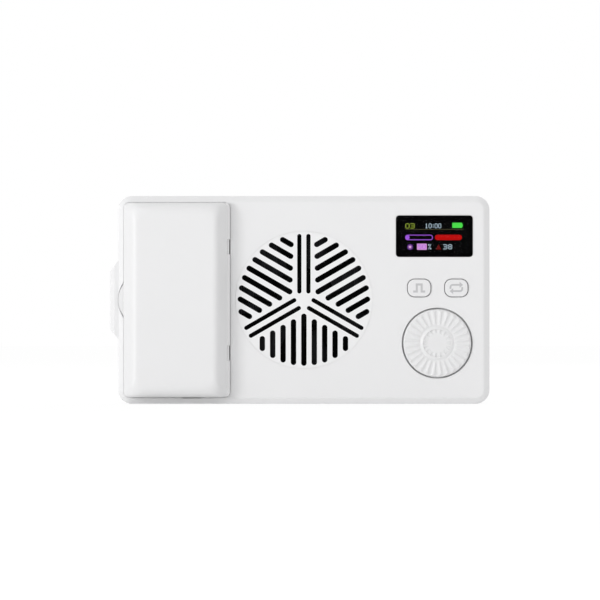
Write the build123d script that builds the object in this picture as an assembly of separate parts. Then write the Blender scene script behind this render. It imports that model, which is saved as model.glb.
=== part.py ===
from build123d import *
import math
import os

# A hand-held light therapy panel: lamps on the front, controls, fan and battery door on the rear.
# Millimetres. X runs to the right seen from the rear, Y from the rear to the lamp side, Z up.
# The origin is the middle of the underside of the case.

# General sizes
wall = 2.0
overrun = 5.0
screw_fit = 0.05
seat_gap = 0.15

# Cells and their bay
cell_diameter = 18.2
cell_length = 65.2
cell_gap = 0.2
cell_sink = 3.6
cell_cap_radius = 3.2
cell_cap_height = 0.9
cell_groove = 0.5
cell_groove_place = 4.0
cell_edge = 1.0
bay_clearance = 0.3
bay_side_wall = 2.5
bay_wall = 1.5
bay_end_wall = 3.0
bay_corner = 1.0
contact_room = 1.9
contact_sheet = 0.4
contact_width = 8.0
contact_clearance = 0.5
contact_bump_width = 5.0
contact_play = 0.1

# Fan
fan_size = 50.0
fan_thickness = 10.0
fan_corner = 4.0
fan_rim = 1.0
fan_barrel_wall = 0.9
fan_flange = 2.6
fan_hole_inset = 5.0
fan_peg_radius = 2.0
fan_peg_fit = 0.15
fan_peg_short = 1.5
fan_pilot_radius = 1.1
fan_screw_head_radius = 2.6
fan_screw_head_height = 1.6
fan_screw_length = 6.0
fan_base_margin = 0.5
fan_base_thickness = 1.5
fan_strut_width = 2.4
fan_strut_count = 4
hub_radius = 11.0
hub_wall = 1.0
hub_round = 1.2
hub_gap = 0.3
blade_count = 7
blade_thickness = 1.0
blade_root_chord = 8.2
blade_tip_chord = 12.0
blade_root_pitch = 48.0
blade_tip_pitch = 30.0
blade_tip_gap = 0.8
rotor_near_gap = 1.0
fan_shaft_radius = 1.0
fan_shaft_fit = 0.05
fan_bush_wall = 1.0
stator_gap = 1.2

# Spaces across the width, beside the fan and the control board
fan_bay_gap = 0.8
fan_board_gap = 2.8
board_width = 36.4
board_edge_gap = 0.8
board_end_gap = 1.2

# Spaces through the depth, behind the fan
fan_seat_gap = 0.2
fan_screw_room = 1.9
fin_depth = 4.9
sink_base = 3.0
led_board_thickness = 1.6
lens_seat_height = 1.2
lens_depth = 8.4
lens_recess = 0.8

# Case
corner_radius = 5.0
bevel_width = 2.1
bevel_depth = 1.3
bevel_blend = 1.5
lip_depth = 2.0
lip_gap = 0.15
seam_width = 0.3
seam_depth = 0.25
split_offset = 1.4
case_boss_inset = 5.0
case_boss_radius = 2.5
bezel_boss_radius = 2.9
case_screw_radius = 1.25
case_screw_head_radius = 2.1
case_screw_head_height = 1.6
case_screw_sink = 2.0
case_screw_length = 10.0
case_bore_fit = 0.2
vent_count = 10
vent_pitch = 4.4
vent_width = 2.0
vent_length = 6.0

# Grille
grille_lap = 0.7
grille_fit = 0.06
grille_thickness = 1.2
grille_border = 0.9
sector_count = 3
sector_pitch = 3.75
sector_slot_width = 1.95
sector_inner = 4.95
sector_inner_share = 0.54
spoke_slot_width = 1.52
spoke_slot_offset = 1.64
spoke_slot_inner = 2.3

# Lamps
lens_columns = 5
lens_rows = 3
lens_edge_x = 19.0
lens_edge_z = 14.5
lens_gap = 3.0
lens_fit = 0.3
lens_lip = 0.5
lens_flange = 1.2
lens_flange_width = 0.7
lens_base_radius = 5.0
lens_cavity_radius = 2.2
lens_cavity_depth = 3.6
holder_wall = 1.0
holder_bore_radius = 3.8
holder_cup = 0.8
emitter_side = 3.5
emitter_base = 0.7
emitter_dome_radius = 1.4
led_board_gap = 1.0
led_board_end_gap = 2.0
led_boss_radius = 2.4
led_screw_radius = 1.0
led_screw_head_radius = 1.9
led_screw_head_height = 1.3
led_screw_length = 9.0
sink_margin = 1.0
fin_thickness = 1.4
fin_count = 12
fin_side_margin = 1.0
fin_end_margin = 3.0

# Battery cover, its hinge and its finger latch
cover_wall = 1.3
cover_border_side = 2.0
cover_border_end = 2.4
cover_corner = 2.0
cover_fit = 0.15
hood_reach_left = 5.2
hood_reach_right = 5.3
hood_reach_end = 4.0
hood_corner = 3.5
hood_level_shares = ((0, 0, 0), (0.3, 0.2, 0.01), (0.58, 0.4, 0.11), (0.82, 0.6, 0.36),
                     (0.955, 0.8, 0.67), (0.99, 0.92, 0.86), (1, 1, 1))
hood_clearance = 0.8
rebate_depth = 0.8
hinge_inset = 0.3
hinge_rise = 1.5
barrel_radius = 1.0
hood_overlap = 0.1
hinge_pin_radius = 0.4
hinge_pin_fit = 0.05
hinge_pin_inset = 1.5
knuckle_radius = 0.65
knuckle_length = 5.0
knuckle_play = 0.15
knuckle_offset = 19.15
knuckle_relief = 0.3
knuckle_root = 0.5
knuckle_ledge = 0.35
hinge_slit_width = 0.35
hinge_slit_depth = 3.0
pry_slit_length = 6.5
pry_slit_width = 0.45
pry_slit_depth = 1.6
pry_slit_place = 5.45
tab_reach = 1.95
tab_half = 5.7
tab_rise = 0.5
scoop_gap = 0.9
scoop_half = 6.8
scoop_depth = 1.3
scoop_slope = 0.8
lug_reach = 3.0
lug_base_half = 14.15
lug_face_half = 10.5
lug_step = 1.2
lug_depth = 13.0
lug_bevel = 1.6

# Control board and what stands on it
board_drop = 9.0
board_thickness = 1.6
board_boss_radius = 2.0
board_boss_inset = 2.2
board_boss_gap = 1.5
key_boss_gap = 0.4
board_screw_radius = 0.9
board_screw_head_radius = 1.8
board_screw_head_height = 1.2
board_screw_length = 6.0
board_notch_gap = 0.6
screen_shift = 1.1
screen_boss_gap = 0.25
window_width = 27.8
window_height = 15.0
window_corner = 1.2
window_thickness = 1.0
window_fit = 0.1
window_ledge = 1.2
module_width = 27.95
module_height = 13.5
module_thickness = 1.5
module_glass_margin = 0.9
module_glass = 0.5
module_gap = 0.1
display_frame_inset = 0.5
display_frame_wall = 1.8
key_shift = 2.3
key_spacing = 13.4
knob_low_gap_share = 0.4759
knob_key_gap_share = 0.1024
button_hole_width = 8.8
button_hole_height = 6.8
button_hole_corner = 2.75
button_gap = 0.28
button_proud = 0.7
button_edge_round = 0.35
button_flange_width = 0.8
button_flange_thickness = 0.8
button_stem_radius = 2.2
button_stem_length = 0.65
button_travel = 0.5
switch_side = 6.0
switch_reach = 1.4
switch_plunger_radius = 1.7
switch_plunger_fit = 0.06
switch_plunger_depth = 1.5
switch_spare = 0.4
usb_width = 9.0
usb_height = 3.2
usb_length = 7.4
usb_inset = 0.8
usb_above_boss = 11.0
usb_fit = 0.15
usb_shell = 0.35
usb_tongue_width = 6.7
usb_tongue_thickness = 0.7
usb_tongue_short = 1.2
usb_back = 1.5

# Knob and encoder
knob_shift = 2.1
knob_radius = 12.2
knob_proud = 1.5
knob_well_gap = 0.6
knob_well_depth = 2.1
knob_well_wall = 1.2
knob_well_floor = 1.2
knob_floor_gap = 0.8
knob_skirt = 1.2
knob_roof = 1.5
knob_hub_radius = 5.0
knob_groove_inner = 5.3
knob_groove_middle = 6.2
knob_groove_depth = 0.4
knob_dish_inner = 3.5
knob_dish_radius = 4.7
knob_dish_depth = 0.2
knob_edge_round = 0.9
knob_flute_count = 28
knob_flute_inner = 7.4
knob_flute_depth = 0.6
knob_scallop_count = 16
knob_scallop_outer = 5.0
knob_scallop_depth = 0.45
flute_width_share = 0.85
encoder_side = 12.0
encoder_gap = 0.2
encoder_shaft_radius = 3.0
encoder_shaft_fit = 0.06
encoder_socket_fit = 0.03
encoder_flat = 0.6
encoder_bush_wall = 0.45
encoder_bush_fit = 0.15
encoder_bush_stand = 0.1
encoder_roof = 0.8
encoder_floor = 0.6
encoder_chamfer = 1.0
encoder_shaft_top = 0.05
encoder_plunger_radius = 3.2
encoder_plunger_thickness = 0.8
encoder_plunger_fit = 0.1
encoder_touch = 0.05
knob_travel = 0.5
encoder_spare = 0.2

# Places that follow from the sizes
cell_radius = cell_diameter / 2
bay_width = 2 * cell_diameter + cell_gap + 2 * bay_clearance
body_width = (bay_side_wall + bay_width + bay_wall + fan_bay_gap + fan_size + fan_board_gap
              + board_width + board_edge_gap + wall)
body_height = cell_length + 2 * contact_room + 2 * bay_end_wall
body_depth = (wall + fan_seat_gap + fan_thickness + fan_screw_room + fin_depth + sink_base
              + led_board_thickness + lens_seat_height + lens_depth + lens_recess)
left_x = -body_width / 2
right_x = body_width / 2
mid_z = body_height / 2
rear_y = -body_depth / 2
front_y = body_depth / 2
wall_y = rear_y + wall
front_wall_y = front_y - wall
fan_y = wall_y + fan_seat_gap
fan_end_y = fan_y + fan_thickness
fin_y = fan_end_y + fan_screw_room
sink_y = fin_y + fin_depth
led_board_y = sink_y + sink_base
led_board_end_y = led_board_y + led_board_thickness
lens_y = led_board_end_y + lens_seat_height
lens_end_y = lens_y + lens_depth
split_y = led_board_end_y + split_offset

bay_left = left_x + bay_side_wall
bay_right = bay_left + bay_width
bay_x = (bay_left + bay_right) / 2
cell_y = rear_y + cell_sink
bay_floor_y = cell_y + cell_radius + bay_clearance
bay_back_y = bay_floor_y + bay_wall
cell_offset = (cell_diameter + cell_gap) / 2
cell_bottom = bay_end_wall + contact_room

fan_x = bay_right + bay_wall + fan_bay_gap + fan_size / 2
fan_hole_half = fan_size / 2 - fan_hole_inset
fan_bore_radius = fan_size / 2 - fan_rim
fan_base_radius = hub_radius + fan_base_margin
grille_radius = fan_bore_radius + grille_lap
grille_envelope = grille_radius - grille_border
fan_base_y = fan_end_y - fan_base_thickness
rotor_y = fan_y + rotor_near_gap
rotor_end_y = fan_base_y - hub_gap

cover_left = left_x + cover_border_side
cover_bottom = cover_border_end
cover_top = body_height - cover_border_end
cover_height = cover_top - cover_bottom
hinge_x = bay_right - hinge_inset
hinge_y = rear_y - hinge_rise
cover_right = hinge_x + barrel_radius
hood_right = hinge_x + hood_overlap
hood_y = cell_y - cell_radius - hood_clearance - cover_wall
cover_foot_y = rear_y + rebate_depth - seat_gap
knuckle_places = (mid_z - knuckle_offset, mid_z + knuckle_offset)

board_right = right_x - wall - board_edge_gap
board_left = board_right - board_width
board_bottom = wall + board_end_gap
board_top = body_height - wall - board_end_gap
board_y = rear_y + board_drop
board_end_y = board_y + board_thickness
board_x = (board_left + board_right) / 2
screen_x = board_x + screen_shift
screen_z = body_height - case_boss_inset - case_boss_radius - screen_boss_gap - module_height / 2
module_y = wall_y + module_gap
module_end_y = module_y + module_thickness
mode_x = board_x + key_shift - key_spacing / 2
cycle_x = board_x + key_shift + key_spacing / 2
button_y = rear_y - button_proud
button_flange_y = wall_y + seat_gap
button_stem_y = button_flange_y + button_flange_thickness
switch_top_y = button_stem_y + button_stem_length
switch_y = switch_top_y + switch_reach
switch_plunger_end_y = switch_y + switch_plunger_depth

knob_x = board_x + knob_shift
well_radius = knob_radius + knob_well_gap
well_outer_radius = well_radius + knob_well_wall
key_half_height = button_hole_height / 2 + button_flange_width
control_slack = screen_z - window_height / 2 - 2 * well_outer_radius - 2 * key_half_height
knob_z = control_slack * knob_low_gap_share + well_outer_radius
button_rise = knob_z + well_outer_radius + control_slack * knob_key_gap_share + key_half_height
knob_y = rear_y - knob_proud
well_floor_y = rear_y + knob_well_depth
well_end_y = well_floor_y + knob_well_floor
knob_skirt_y = well_floor_y - knob_floor_gap
encoder_y = well_end_y + encoder_gap
encoder_bush_radius = encoder_shaft_radius + encoder_shaft_fit + encoder_bush_wall
encoder_socket_y = knob_y + knob_roof
encoder_shaft_y = encoder_socket_y + encoder_shaft_top
encoder_chamber_y = encoder_y + encoder_roof
encoder_chamber_end_y = board_y - encoder_floor
encoder_plunger_end_y = encoder_chamber_end_y - knob_travel - encoder_spare
encoder_plunger_y = encoder_plunger_end_y - encoder_plunger_thickness
encoder_shaft_end_y = encoder_plunger_y - encoder_touch

case_boss_x = right_x - case_boss_inset
board_boss_low = case_boss_inset + case_boss_radius + board_boss_gap + board_boss_radius
board_boss_high = button_rise - key_half_height - key_boss_gap - board_boss_radius
usb_rise = board_boss_high + usb_above_boss
case_boss_places = [(x, z) for x in (-case_boss_x, case_boss_x)
                    for z in (case_boss_inset, body_height - case_boss_inset)]
case_head_y = front_y - case_screw_sink
case_seat_y = case_head_y - case_screw_head_height
board_boss_places = [
    (board_left + board_boss_inset, board_bottom + board_boss_inset),
    (board_left + board_boss_inset, board_top - board_boss_inset),
    (board_right - board_boss_inset, board_boss_low),
    (board_right - board_boss_inset, board_boss_high),
]
fan_hole_places = [(fan_x + x, mid_z + z) for x in (-fan_hole_half, fan_hole_half)
                   for z in (-fan_hole_half, fan_hole_half)]
lens_pitch_x = (body_width - 2 * lens_edge_x) / (lens_columns - 1)
lens_pitch_z = (body_height - 2 * lens_edge_z) / (lens_rows - 1)
lens_radius = (min(lens_pitch_x, lens_pitch_z) - lens_gap) / 2
lens_x_places = [(column - (lens_columns - 1) / 2) * lens_pitch_x for column in range(lens_columns)]
lens_z_places = [mid_z + (row - (lens_rows - 1) / 2) * lens_pitch_z for row in range(lens_rows)]
lens_places = [(x, z) for x in lens_x_places for z in lens_z_places]
led_boss_x = (lens_columns / 2 - 1) * lens_pitch_x
led_boss_places = [(x, mid_z + z) for x in (-led_boss_x, led_boss_x)
                   for z in (-lens_pitch_z / 2, lens_pitch_z / 2)]
led_board_width = 2 * (case_boss_x - case_boss_radius - led_board_gap)
led_board_height = body_height - 2 * (wall + led_board_end_gap)


# Shared shapes
def slab(outline, near_y, far_y):
    """An outline drawn in X and Z, carried from one depth to another."""
    return extrude(Plane.XZ.offset(-far_y) * outline, far_y - near_y)


def post(x, z, radius, near_y, far_y):
    return slab(Pos(x, z) * Circle(radius), near_y, far_y)


def posts(places, radius, near_y, far_y):
    return [post(x, z, radius, near_y, far_y) for x, z in places]


def block(low, high):
    """A box between two corners."""
    size = [top - bottom for bottom, top in zip(low, high)]
    centre = [(top + bottom) / 2 for bottom, top in zip(low, high)]
    return Pos(*centre) * Box(*size)


def pane(x, z, width, height, corner, near_y, far_y):
    return slab(Pos(x, z) * RectangleRounded(width, height, corner), near_y, far_y)


def turned(points, x, z):
    """A profile of radius and depth, turned about an axis along Y."""
    return Pos(x, 0, z) * revolve(make_face(Polyline(*points, close=True)), Axis.Y)


def screw(x, z, head_y, toward, head_radius, head_height, shank_radius, shank_length):
    """A screw whose head starts at head_y and whose shank points along Y, toward 1 or -1."""
    seat_y = head_y + toward * head_height
    end_y = seat_y + toward * shank_length
    crown_y = head_y + toward * head_height / 2
    crown_radius = head_radius - head_height / 2
    return turned([(0, head_y), (crown_radius, head_y), (head_radius, crown_y), (head_radius, seat_y),
                   (shank_radius, seat_y), (shank_radius, end_y - toward * shank_radius / 2),
                   (shank_radius / 2, end_y), (0, end_y)], x, z)


# Case
def case_outline(inset):
    width = body_width - 2 * inset
    height = body_height - 2 * inset
    return Pos(0, mid_z) * RectangleRounded(width, height, corner_radius - inset)


def case_block(near_y, far_y):
    """The outside of one half of the case, bevelled round the face of the panel that it carries."""
    half = slab(case_outline(0), near_y, far_y)
    end = 0 if near_y < split_y else -1
    face = half.faces().sort_by(Axis.Y)[end]
    half = chamfer(face.edges(), bevel_width, bevel_depth, reference=face)
    face = half.faces().sort_by(Axis.Y)[end]
    return fillet(face.edges(), bevel_blend)


def seam_groove():
    """The fine groove round the case where its two halves meet."""
    ring = case_outline(-overrun) - case_outline(seam_depth)
    return slab(ring, split_y - seam_width / 2, split_y + seam_width / 2)


def rounded_between(left, right, low, high, corner):
    return Pos((left + right) / 2, (low + high) / 2) * RectangleRounded(right - left, high - low, corner)


def cover_outline(grow):
    return rounded_between(cover_left - grow, cover_right + grow, cover_bottom - grow, cover_top + grow,
                           cover_corner + grow)


def arc_radius(half_chord, reach):
    return (half_chord ** 2 + reach ** 2) / (2 * reach)


def side_lug():
    """The lug on the bay side: a flat trapezoid that gives the finger scoop its depth."""
    near_y = rear_y + lug_step
    root_x = left_x + bay_side_wall / 2
    face_x = left_x - lug_reach
    outline = make_face(Polyline(
        (root_x, mid_z - lug_base_half), (left_x, mid_z - lug_base_half), (face_x, mid_z - lug_face_half),
        (face_x, mid_z + lug_face_half), (left_x, mid_z + lug_base_half), (root_x, mid_z + lug_base_half),
        close=True))
    lug = slab(outline, near_y, near_y + lug_depth)
    face = lug.faces().sort_by(Axis.X)[0]
    return chamfer(face.edges().filter_by(Axis.Z), lug_bevel)


def finger_scoop():
    """The hollow beside the cover's tab, where a finger tip lifts the door."""
    edge_x = cover_left - cover_fit
    tip_x = cover_left - tab_reach - scoop_gap
    radius = arc_radius(scoop_half, edge_x - tip_x)
    floor_y = rear_y + scoop_depth
    hollow = turned([(0, rear_y - overrun), (radius, rear_y - overrun), (radius, rear_y),
                     (radius - scoop_slope, floor_y), (0, floor_y)], tip_x + radius, mid_z)
    return hollow & block((tip_x - overrun, rear_y - overrun, mid_z - radius),
                          (edge_x, rear_y + overrun, mid_z + radius))


def hinge_knuckle(z):
    """A post beside the bay that holds the hinge pin in a notch of the cover's barrel."""
    profile = Pos(hinge_x, hinge_y) * Circle(knuckle_radius)
    foot_y = rear_y + rebate_depth + knuckle_root
    foot_left = bay_right - knuckle_ledge
    foot_right = hinge_x + knuckle_radius
    foot = Rectangle(foot_right - foot_left, foot_y - hinge_y)
    profile += Pos((foot_left + foot_right) / 2, (hinge_y + foot_y) / 2) * foot
    profile -= Pos(hinge_x, hinge_y) * Circle(hinge_pin_radius + screw_fit)
    return Pos(0, 0, z - knuckle_length / 2) * extrude(profile, knuckle_length)


def vent_slots():
    """Slots through the top and the underside, level with the fins."""
    slots = []
    for number in range(vent_count):
        x = fan_x + (number - (vent_count - 1) / 2) * vent_pitch
        outline = Pos(x, sink_y - vent_length / 2) * SlotOverall(vent_length, vent_width, rotation=90)
        slots.append(Pos(0, 0, -overrun) * extrude(outline, body_height + 2 * overrun))
    return slots


def rear_shell():
    outside = case_block(rear_y, split_y)
    bay = block((left_x, rear_y, 0), (bay_right + bay_wall, bay_back_y, body_height))
    shell = outside - (slab(case_outline(wall), wall_y, split_y + overrun) - bay)
    shell += side_lug()
    shell += posts(case_boss_places[:2], case_boss_radius, bay_floor_y, split_y)
    shell += posts(case_boss_places[2:], case_boss_radius, rear_y + wall / 2, split_y)
    shell += posts(board_boss_places, board_boss_radius, rear_y + wall / 2, board_y)
    shell += posts(fan_hole_places, fan_peg_radius, rear_y + wall / 2, fan_end_y - fan_peg_short)
    shell += post(knob_x, knob_z, well_outer_radius, rear_y + wall / 2, well_end_y)
    groove = case_outline(wall / 2) - case_outline(wall + lip_gap)
    shell -= slab(groove, split_y - lip_depth - lip_gap, split_y + overrun)
    shell -= seam_groove()
    shell -= slab(cover_outline(cover_fit), rear_y - overrun, rear_y + rebate_depth)
    shell -= pane(bay_x, mid_z, bay_width, body_height - 2 * bay_end_wall, bay_corner,
                  rear_y - overrun, bay_floor_y)
    shell -= finger_scoop()
    for z in knuckle_places:
        shell += hinge_knuckle(z)
        slit_x = hinge_x + knuckle_radius
        half = knuckle_length / 2 + knuckle_play
        shell -= block((slit_x, rear_y - overrun, z - half),
                       (slit_x + hinge_slit_width, rear_y + hinge_slit_depth, z + half))
    pry_x = bay_x + pry_slit_place
    shell -= block((pry_x - pry_slit_length / 2, rear_y - overrun, cover_bottom - pry_slit_width),
                   (pry_x + pry_slit_length / 2, rear_y + pry_slit_depth, cover_bottom))
    shell -= post(fan_x, mid_z, grille_radius + grille_fit, rear_y - overrun, rear_y + grille_thickness)
    shell -= post(fan_x, mid_z, fan_bore_radius, rear_y, wall_y)
    shell -= pane(screen_x, screen_z, window_width + 2 * window_fit, window_height + 2 * window_fit,
                  window_corner + window_fit, rear_y - overrun, rear_y + window_thickness)
    shell -= pane(screen_x, screen_z, window_width - 2 * window_ledge, window_height - 2 * window_ledge,
                  window_corner, rear_y, wall_y)
    for x in (mode_x, cycle_x):
        shell -= pane(x, button_rise, button_hole_width, button_hole_height, button_hole_corner,
                      rear_y - overrun, wall_y)
    shell -= post(knob_x, knob_z, well_radius, rear_y - overrun, well_floor_y)
    shell -= post(knob_x, knob_z, encoder_bush_radius + encoder_bush_fit, rear_y, well_end_y)
    shell -= usb_opening()
    shell -= vent_slots()
    shell -= posts(case_boss_places, case_screw_radius + screw_fit,
                   case_seat_y - case_screw_length - screw_fit, split_y)
    shell -= posts(board_boss_places, board_screw_radius + screw_fit,
                   board_end_y - board_screw_length - screw_fit, board_y)
    shell -= posts(fan_hole_places, fan_pilot_radius + screw_fit,
                   fan_end_y - fan_screw_length - screw_fit, fan_end_y)
    return shell


def front_bezel():
    bezel = case_block(split_y, front_y)
    bezel -= slab(case_outline(wall), split_y - overrun, front_wall_y)
    lip = slab(case_outline(wall / 2 + lip_gap), split_y - lip_depth, split_y + wall)
    bezel += lip - slab(case_outline(wall), split_y - overrun, split_y + overrun)
    bezel -= seam_groove()
    bezel += posts(case_boss_places, bezel_boss_radius, split_y, front_y - wall / 2)
    bezel += posts(led_boss_places, led_boss_radius, led_board_end_y, front_y - wall / 2)
    bezel -= posts(lens_places, lens_radius + lens_fit, split_y, lens_end_y + screw_fit)
    bezel -= posts(lens_places, lens_radius - lens_lip, split_y, front_y + overrun)
    bezel -= posts(case_boss_places, case_screw_radius + case_bore_fit, split_y - overrun, front_y)
    bezel -= posts(case_boss_places, case_screw_head_radius + case_bore_fit, case_seat_y, front_y + overrun)
    bezel -= posts(led_boss_places, led_screw_radius + screw_fit, led_board_end_y,
                   sink_y + led_screw_head_height + led_screw_length + screw_fit)
    return bezel


def case_screws():
    return [screw(x, z, case_head_y, -1, case_screw_head_radius, case_screw_head_height,
                  case_screw_radius, case_screw_length) for x, z in case_boss_places]


# Battery cover and cells
def hood_form(inset):
    """The hood: walls up to the hinge barrel, then a roll to the crown; the inset makes the hollow inside."""
    left = cover_left + inset
    right = hood_right - inset
    low = cover_bottom + inset
    high = cover_top - inset
    shoulder_y = hinge_y - barrel_radius
    crown_y = hood_y + inset
    foot_y = cover_foot_y + (overrun if inset else 0)
    sections = []
    for rise, side, end in hood_level_shares:
        from_end = end * (hood_reach_end - inset)
        corner = cover_corner + rise * (hood_corner - cover_corner) - inset
        outline = rounded_between(left + side * (hood_reach_left - inset),
                                  right - side * (hood_reach_right - inset),
                                  low + from_end, high - from_end, corner)
        level_y = shoulder_y + rise * (crown_y - shoulder_y)
        sections.append(Plane.XZ.offset(-level_y) * outline)
    foot = rounded_between(left, right, low, high, cover_corner - inset)
    return loft(sections) + slab(foot, shoulder_y, foot_y)


def finger_tab():
    tip_x = cover_left - tab_reach
    radius = arc_radius(tab_half, tab_reach)
    near_y = rear_y - tab_rise
    root_x = cover_left + cover_wall / 2
    disc = post(tip_x + radius, mid_z, radius, near_y, cover_foot_y)
    return disc & block((tip_x, near_y, mid_z - radius), (root_x, cover_foot_y, mid_z + radius))


def battery_cover():
    cover = hood_form(0) - hood_form(cover_wall)
    hinge_side = hinge_x - barrel_radius - hinge_inset
    cover -= block((hinge_side, hinge_y, 0), (hinge_x + overrun, rear_y + overrun, body_height))
    barrel = extrude(Pos(0, 0, cover_bottom) * Pos(hinge_x, hinge_y) * Circle(barrel_radius), cover_height)
    cover += barrel & slab(cover_outline(0), hood_y, rear_y)
    cover += finger_tab()
    for z in knuckle_places:
        length = knuckle_length + 2 * knuckle_play
        notch = Circle(barrel_radius + knuckle_relief)
        cover -= extrude(Pos(hinge_x, hinge_y, z - length / 2) * notch, length)
    bore = Circle(hinge_pin_radius + hinge_pin_fit)
    cover -= extrude(Pos(hinge_x, hinge_y, 0) * bore, body_height)
    return cover


def hinge_pin():
    length = cover_height - 2 * hinge_pin_inset
    return extrude(Pos(hinge_x, hinge_y, cover_bottom + hinge_pin_inset) * Circle(hinge_pin_radius), length)


def battery_cell(x, cap_up):
    """A round cell with its cap, rolled shoulder and crimp groove."""
    groove_end = cell_length - cell_groove_place
    body_end = cell_length - cell_cap_height
    profile = make_face(Polyline(
        (0, 0), (cell_radius - cell_edge / 2, 0), (cell_radius, cell_edge / 2),
        (cell_radius, groove_end - cell_groove), (cell_radius - cell_groove, groove_end),
        (cell_radius, groove_end + cell_groove), (cell_radius, body_end - cell_edge),
        (cell_radius - cell_edge, body_end), (cell_cap_radius, body_end),
        (cell_cap_radius, cell_length), (0, cell_length), close=True))
    cell = revolve(Plane.XZ * profile, Axis.Z)
    if not cap_up:
        cell = Pos(0, 0, cell_length) * Rot(180, 0, 0) * cell
    return Pos(x, cell_y, cell_bottom) * cell


def contact_bump(x, z, toward):
    """A bowed spring leaf that stands up from its plate against the end of a cell."""
    reach = contact_room - contact_play
    ring = Circle(reach) - Circle(reach - contact_sheet)
    leaf = extrude(Plane.YZ * ring, contact_bump_width / 2, both=True)
    upper = block((-contact_bump_width, -reach, 0), (contact_bump_width, reach, reach))
    leaf &= upper if toward > 0 else Rot(180, 0, 0) * upper
    return Pos(x, cell_y, z) * leaf


def contact_plate(x_low, x_high, z, toward):
    z_end = z + toward * contact_sheet
    near_y = cover_foot_y + contact_clearance
    return block((x_low, near_y, min(z, z_end)), (x_high, near_y + contact_width, max(z, z_end)))


def series_contact():
    """One plate across the tops of both cells."""
    z = body_height - bay_end_wall
    half = cell_offset + contact_width / 2
    plate = contact_plate(bay_x - half, bay_x + half, z, -1)
    for side in (-1, 1):
        plate += contact_bump(bay_x + side * cell_offset, z, -1)
    return plate


def terminal_contacts():
    """Two plates under the cells, one for each pole."""
    contacts = []
    for side in (-1, 1):
        x = bay_x + side * cell_offset
        plate = contact_plate(x - contact_width / 2, x + contact_width / 2, bay_end_wall, 1)
        contacts.append(plate + contact_bump(x, bay_end_wall, 1))
    return contacts


# Grille and fan
def slot_between(inner, outer, offset, width):
    """A round-ended slot along a ray, from an inner to an outer distance, beside the ray by an offset."""
    return Pos((inner + outer) / 2, offset) * SlotOverall(outer - inner, width)


def grille_slots():
    slots = []
    for sector in range(sector_count):
        bisector = Pos(fan_x, mid_z) * Rot(0, 0, 30 + sector * 360 / sector_count)
        reach = math.floor(grille_envelope / sector_pitch)
        for number in range(-reach, reach + 1):
            offset = number * sector_pitch
            inner = sector_inner + abs(offset) * sector_inner_share
            outer = math.sqrt(grille_envelope ** 2 - offset ** 2)
            if outer - inner > 2 * sector_slot_width:
                slots.append(bisector * slot_between(inner, outer, offset, sector_slot_width))
        spoke = Pos(fan_x, mid_z) * Rot(0, 0, 90 + sector * 360 / sector_count)
        for offset in (-spoke_slot_offset, spoke_slot_offset):
            slots.append(spoke * slot_between(spoke_slot_inner, grille_envelope, offset, spoke_slot_width))
    return slots


def fan_grille():
    disc = Pos(fan_x, mid_z) * Circle(grille_radius)
    return slab(disc - grille_slots(), rear_y, rear_y + grille_thickness)


def fan_frame():
    """The square frame: flanges at both faces, a thin barrel between them and struts to the motor base."""
    square = Pos(fan_x, mid_z) * RectangleRounded(fan_size, fan_size, fan_corner)
    bore = Pos(fan_x, mid_z) * Circle(fan_bore_radius)
    flange = square - bore
    for x, z in fan_hole_places:
        flange -= Pos(x, z) * Circle(fan_peg_radius + fan_peg_fit)
    barrel = Pos(fan_x, mid_z) * Circle(fan_bore_radius + fan_barrel_wall) - bore
    frame = slab(flange, fan_y, fan_y + fan_flange) + slab(flange, fan_end_y - fan_flange, fan_end_y)
    frame += slab(barrel, fan_y, fan_end_y)
    base = Pos(fan_x, mid_z) * Circle(fan_base_radius)
    for number in range(fan_strut_count):
        turn = Pos(fan_x, mid_z) * Rot(0, 0, number * 360 / fan_strut_count)
        reach = fan_bore_radius + fan_barrel_wall / 2
        base += turn * Pos(reach / 2, 0) * Rectangle(reach, fan_strut_width)
    frame += slab(base, fan_base_y, fan_end_y)
    return frame - post(fan_x, mid_z, fan_bush_radius() + screw_fit, fan_y, fan_end_y + overrun)


def fan_bush_radius():
    return fan_shaft_radius + fan_shaft_fit + fan_bush_wall


def fan_bush():
    ring = Circle(fan_bush_radius()) - Circle(fan_shaft_radius + fan_shaft_fit)
    return slab(Pos(fan_x, mid_z) * ring, rotor_y + hub_wall + 2 * hub_gap, fan_end_y)


def fan_stator():
    ring = Circle(hub_radius - hub_wall - stator_gap) - Circle(fan_bush_radius() + screw_fit)
    return slab(Pos(fan_x, mid_z) * ring, rotor_y + hub_wall + 2 * hub_gap, fan_base_y)


def fan_shaft():
    return post(fan_x, mid_z, fan_shaft_radius, rotor_y + hub_wall, fan_end_y - hub_gap)


def fan_blade():
    """A twisted blade that grows wider and flatter from the hub to the tip."""
    mid_y = (rotor_y + rotor_end_y) / 2
    tip_radius = fan_bore_radius - blade_tip_gap
    sections = []
    for radius, chord, pitch in ((hub_radius - hub_wall / 2, blade_root_chord, blade_root_pitch),
                                 (tip_radius + blade_tip_gap, blade_tip_chord, blade_tip_pitch)):
        plane = Plane((radius, mid_y, 0), x_dir=(0, 0, 1), z_dir=(1, 0, 0))
        sections.append(plane * Rot(0, 0, pitch) * SlotOverall(chord, blade_thickness))
    return loft(sections) & post(0, 0, tip_radius, rotor_y, rotor_end_y)


def fan_rotor():
    inner = hub_radius - hub_wall
    rotor = turned([(0, rotor_y), (hub_radius - hub_round, rotor_y), (hub_radius, rotor_y + hub_round),
                    (hub_radius, rotor_end_y), (inner, rotor_end_y), (inner, rotor_y + hub_wall),
                    (0, rotor_y + hub_wall)], 0, 0)
    blade = fan_blade()
    rotor += [Rot(0, number * 360 / blade_count, 0) * blade for number in range(blade_count)]
    return Pos(fan_x, 0, mid_z) * rotor


def fan_screws():
    return [screw(x, z, fan_end_y + fan_screw_head_height, -1, fan_screw_head_radius, fan_screw_head_height,
                  fan_pilot_radius, fan_screw_length) for x, z in fan_hole_places]


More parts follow.
